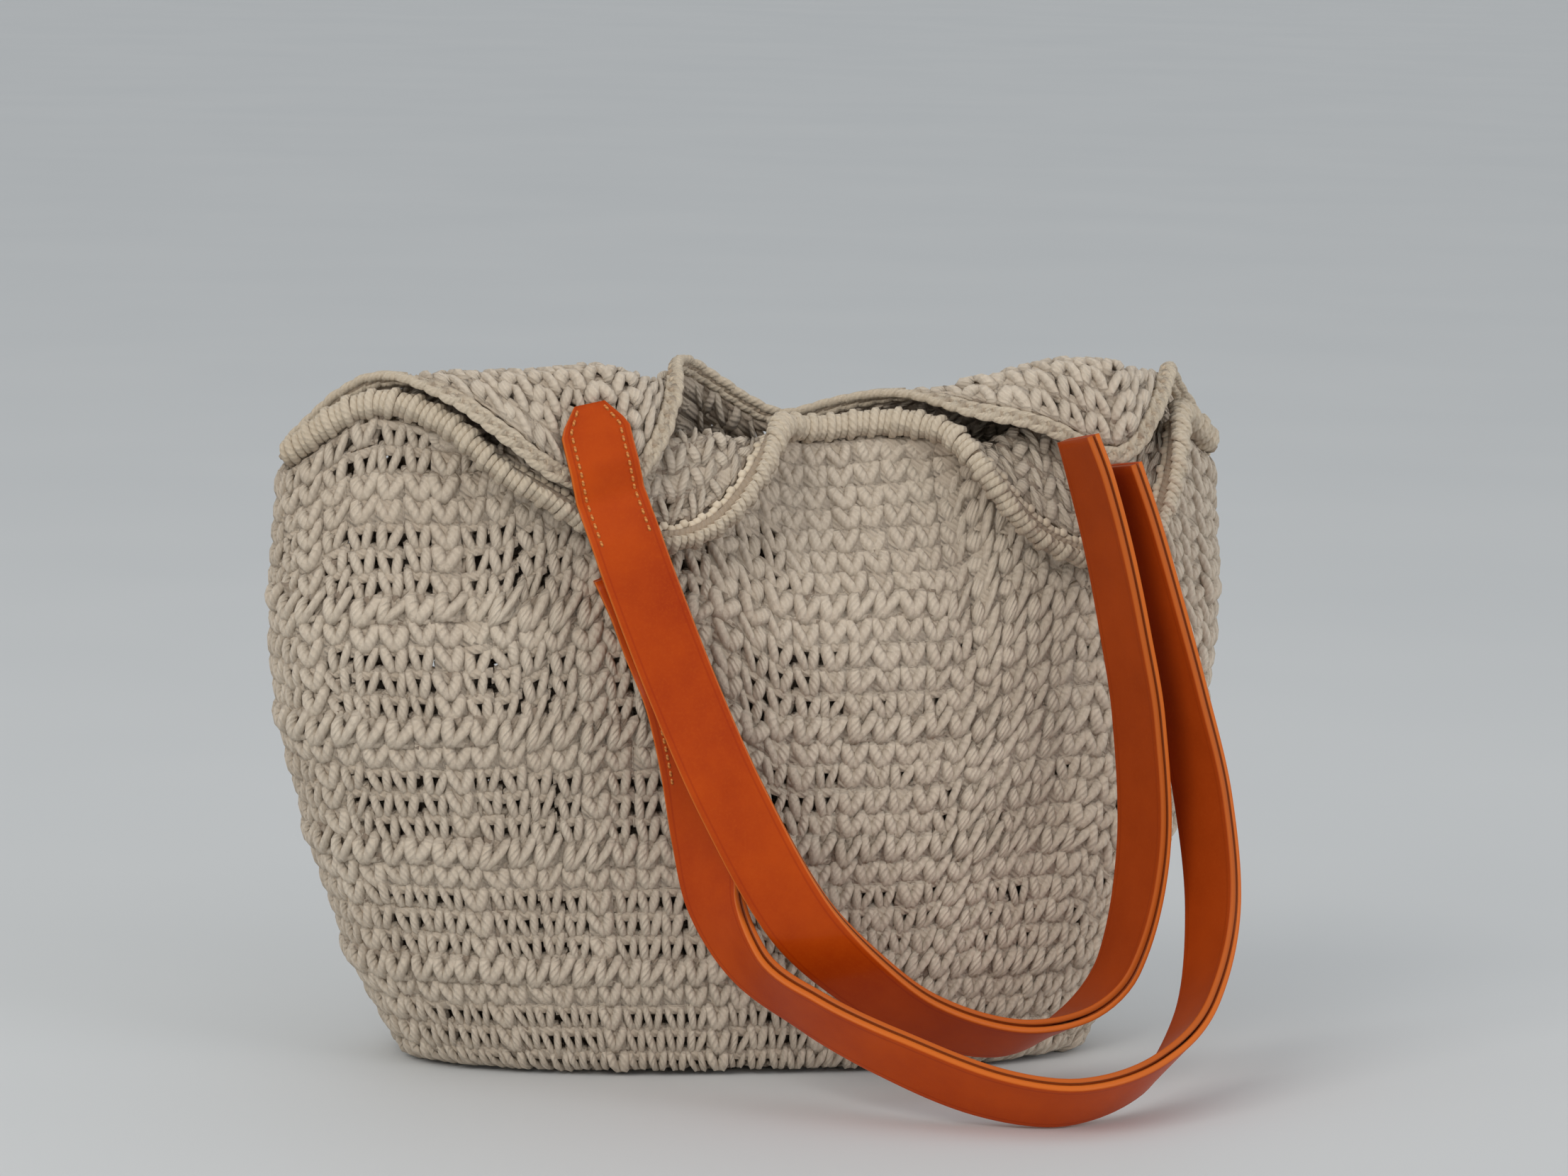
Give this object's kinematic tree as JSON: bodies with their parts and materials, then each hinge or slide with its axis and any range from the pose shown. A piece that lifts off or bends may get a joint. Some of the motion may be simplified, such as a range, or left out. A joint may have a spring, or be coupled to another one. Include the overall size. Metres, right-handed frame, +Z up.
{
  "type": "shoulder bag",
  "caption": "Soft knotted-cord shoulder bag with a slumped, lobed mouth, cord edgings and two long two-ply leather straps that hang in loops down the front.",
  "frame": {"origin": "centre of the flat base, on the surface the bag stands on", "axes": "+X towards the bag's right as seen from its front, -Y out of the front, +Z up"},
  "size_m": [0.3988, 0.2403, 0.2876],
  "materials": {
    "cotton_cord": "matte",
    "edging_cord": "matte",
    "strap_leather": "gloss",
    "strap_lining": "satin"
  },
  "bodies": {
    "root": {"bag_body": "cotton_cord", "front_edging": "edging_cord", "back_edging": "edging_cord", "inner_strap_face": "strap_leather", "inner_strap_lining": "strap_lining", "outer_strap_face": "strap_leather", "outer_strap_lining": "strap_lining"}
  },
  "joints": []
}
